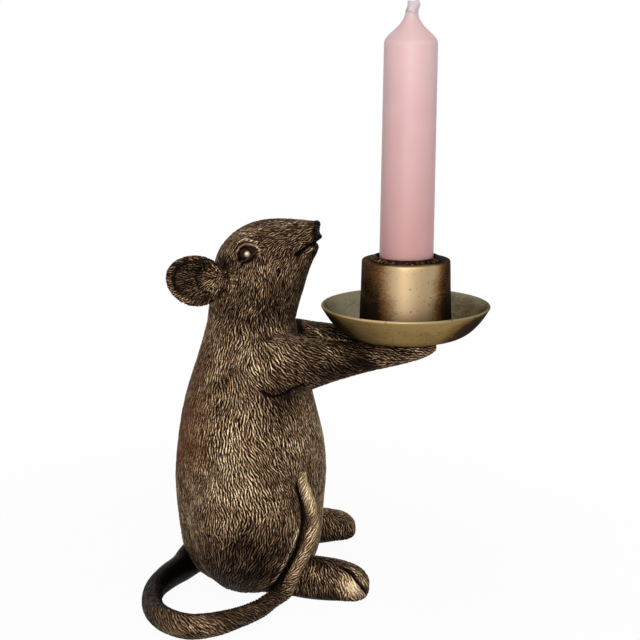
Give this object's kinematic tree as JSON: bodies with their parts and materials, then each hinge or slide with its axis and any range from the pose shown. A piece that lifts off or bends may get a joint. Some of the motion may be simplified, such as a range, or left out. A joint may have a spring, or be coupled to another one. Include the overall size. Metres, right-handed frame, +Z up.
{
  "type": "mouse candle holder",
  "caption": "Sitting mouse figure with raised arms that hold a round drip plate and a cup with a tapered candle.",
  "frame": {"origin": "centre of the underside of the rump pad, on the standing plane below the mouse's body", "axes": "+X the way the mouse faces, towards the candle; +Y its left side; +Z up"},
  "size_m": [0.1393, 0.1165, 0.2348],
  "materials": {
    "bronzed_resin": "cast resin, carved fur, dark brown paint dry-brushed with bronze-gold",
    "steel": "bright drawn wire and plated screw",
    "eye_bead": "glossy black-brown bead",
    "felt": "pressed wool felt",
    "antique_brass": "satin antique brass, brushed and worn",
    "dark_brass": "dark patinated brass",
    "pink_wax": "satin dusty-pink candle wax",
    "waxed_cotton": "cotton wick dipped in wax"
  },
  "bodies": {
    "holder": {"body": "bronzed_resin", "head": "bronzed_resin", "right_ear": "bronzed_resin", "left_ear": "bronzed_resin", "right_arm": "bronzed_resin", "left_arm": "bronzed_resin", "right_foot": "bronzed_resin", "left_foot": "bronzed_resin", "tail": "bronzed_resin", "neck_dowel": "steel", "right_arm_dowel": "steel", "left_arm_dowel": "steel", "right_foot_dowel": "steel", "left_foot_dowel": "steel", "tail_dowel": "steel", "right_paw_pin": "steel", "left_paw_pin": "steel", "cup_screw": "steel", "cup_washer": "steel", "right_eye": "eye_bead", "left_eye": "eye_bead", "right_foot_pad": "felt", "left_foot_pad": "felt", "rump_pad": "felt", "drip_plate": "antique_brass", "candle_cup": "antique_brass"},
    "insert": {"candle_insert": "dark_brass"},
    "candle": {"candle": "pink_wax", "wick": "waxed_cotton"}
  },
  "joints": [
    {"name": "insert_lift", "type": "slide", "parent": "holder", "child": "insert", "axis": [0, 0, 1], "range_m": [0, 0.03]},
    {"name": "candle_lift", "type": "slide", "parent": "insert", "child": "candle", "axis": [0, 0, 1], "range_m": [0, 0.04]}
  ]
}
